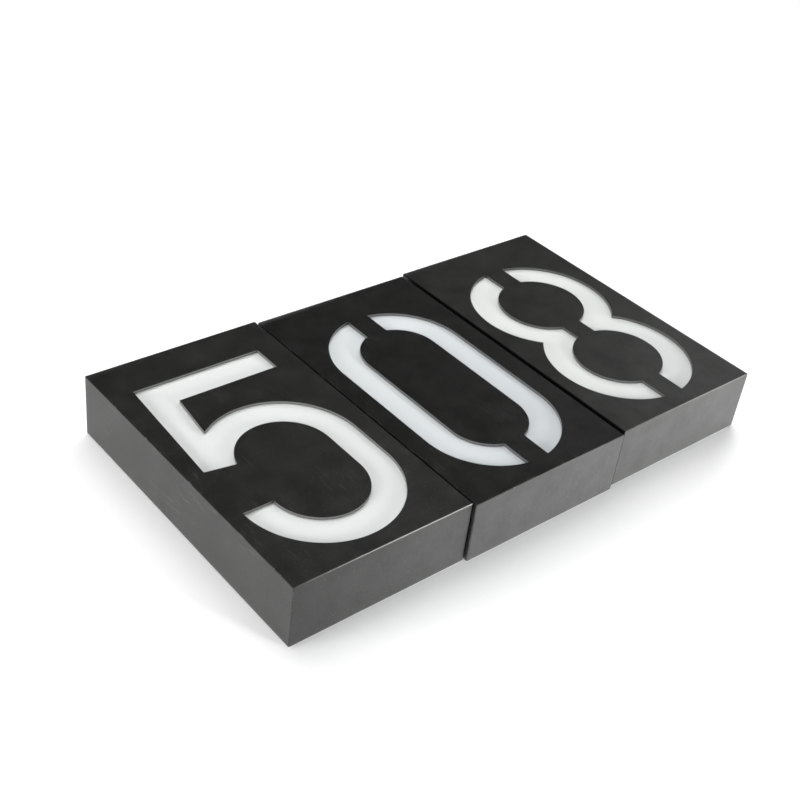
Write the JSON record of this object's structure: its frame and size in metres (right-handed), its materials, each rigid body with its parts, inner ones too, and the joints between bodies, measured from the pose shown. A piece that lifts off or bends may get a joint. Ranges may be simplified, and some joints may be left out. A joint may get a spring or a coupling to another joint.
{
  "type": "illuminated house number sign",
  "caption": "House number sign of separate folded-steel light boxes with stencil-cut numerals over opal plates, each with LEDs, a rechargeable cell and a solar panel inside.",
  "frame": {"origin": "middle of the whole sign's footprint, on the wall side of the trays", "axes": "+X along the number as it is read, +Y towards the tops of the numerals, +Z out of the faces"},
  "size_m": [0.303, 0.1768, 0.035],
  "materials": {
    "black_paint": "satin black paint on folded steel sheet",
    "opal_acrylic": "opal white, polished",
    "zinc_steel": "zinc-plated steel",
    "clear_pane": "clear polycarbonate",
    "tray_plastic": "moulded, fine texture",
    "gasket_rubber": "matt",
    "spring_steel": "bright rolled",
    "reflector_white": "matt white",
    "board_white": "white solder mask",
    "led_package": "phosphor yellow in white package",
    "screw_steel": "zinc-plated",
    "cell_sleeve": "shrink sleeve",
    "contact_nickel": "nickel-plated",
    "board_green": "green solder mask",
    "component_plastic": "moulded packages",
    "switch_can": "tinned steel",
    "knob_plastic": "moulded",
    "solar_cells": "epoxy over dark cells",
    "wire_red": "PVC insulation",
    "wire_black": "PVC insulation"
  },
  "bodies": {
    "tray_0": {"back_tray_0": "tray_plastic", "tray_gasket_0": "gasket_rubber", "spring_clips_0": "spring_steel", "reflector_0": "reflector_white", "led_board_0": "board_white", "leds_0": "led_package", "board_screws_0": "screw_steel", "battery_cell_0": "cell_sleeve", "battery_contacts_0": "contact_nickel", "control_board_0": "board_green", "board_components_0": "component_plastic", "switch_body_0": "switch_can", "solar_panel_0": "solar_cells", "red_wires_0": "wire_red", "black_wires_0": "wire_black"},
    "tray_5": {"back_tray_5": "tray_plastic", "tray_gasket_5": "gasket_rubber", "spring_clips_5": "spring_steel", "reflector_5": "reflector_white", "led_board_5": "board_white", "leds_5": "led_package", "board_screws_5": "screw_steel", "battery_cell_5": "cell_sleeve", "battery_contacts_5": "contact_nickel", "control_board_5": "board_green", "board_components_5": "component_plastic", "switch_body_5": "switch_can", "solar_panel_5": "solar_cells", "red_wires_5": "wire_red", "black_wires_5": "wire_black"},
    "tray_8": {"back_tray_8": "tray_plastic", "tray_gasket_8": "gasket_rubber", "spring_clips_8": "spring_steel", "reflector_8": "reflector_white", "led_board_8": "board_white", "leds_8": "led_package", "board_screws_8": "screw_steel", "battery_cell_8": "cell_sleeve", "battery_contacts_8": "contact_nickel", "control_board_8": "board_green", "board_components_8": "component_plastic", "switch_body_8": "switch_can", "solar_panel_8": "solar_cells", "red_wires_8": "wire_red", "black_wires_8": "wire_black"},
    "front_5": {"front_shell_5": "black_paint", "diffuser_5": "opal_acrylic", "diffuser_brackets_5": "zinc_steel", "solar_window_5": "clear_pane"},
    "knob_5": {"switch_knob_5": "knob_plastic"},
    "front_0": {"front_shell_0": "black_paint", "diffuser_0": "opal_acrylic", "diffuser_brackets_0": "zinc_steel", "solar_window_0": "clear_pane"},
    "knob_0": {"switch_knob_0": "knob_plastic"},
    "front_8": {"front_shell_8": "black_paint", "diffuser_8": "opal_acrylic", "diffuser_brackets_8": "zinc_steel", "solar_window_8": "clear_pane"},
    "knob_8": {"switch_knob_8": "knob_plastic"}
  },
  "joints": [
    {"name": "spread_5", "type": "slide", "parent": "tray_0", "child": "tray_5", "axis": [-1, 0, 0], "range_m": [0, 0.04]},
    {"name": "spread_8", "type": "slide", "parent": "tray_0", "child": "tray_8", "axis": [1, 0, 0], "range_m": [0, 0.04]},
    {"name": "front_lift_5", "type": "slide", "parent": "tray_5", "child": "front_5", "axis": [0, 0, 1], "range_m": [0, 0.06]},
    {"name": "switch_slide_5", "type": "slide", "parent": "tray_5", "child": "knob_5", "axis": [1, 0, 0], "range_m": [0, 0.002]},
    {"name": "front_lift_0", "type": "slide", "parent": "tray_0", "child": "front_0", "axis": [0, 0, 1], "range_m": [0, 0.06]},
    {"name": "switch_slide_0", "type": "slide", "parent": "tray_0", "child": "knob_0", "axis": [1, 0, 0], "range_m": [0, 0.002]},
    {"name": "front_lift_8", "type": "slide", "parent": "tray_8", "child": "front_8", "axis": [0, 0, 1], "range_m": [0, 0.06]},
    {"name": "switch_slide_8", "type": "slide", "parent": "tray_8", "child": "knob_8", "axis": [1, 0, 0], "range_m": [0, 0.002]}
  ]
}
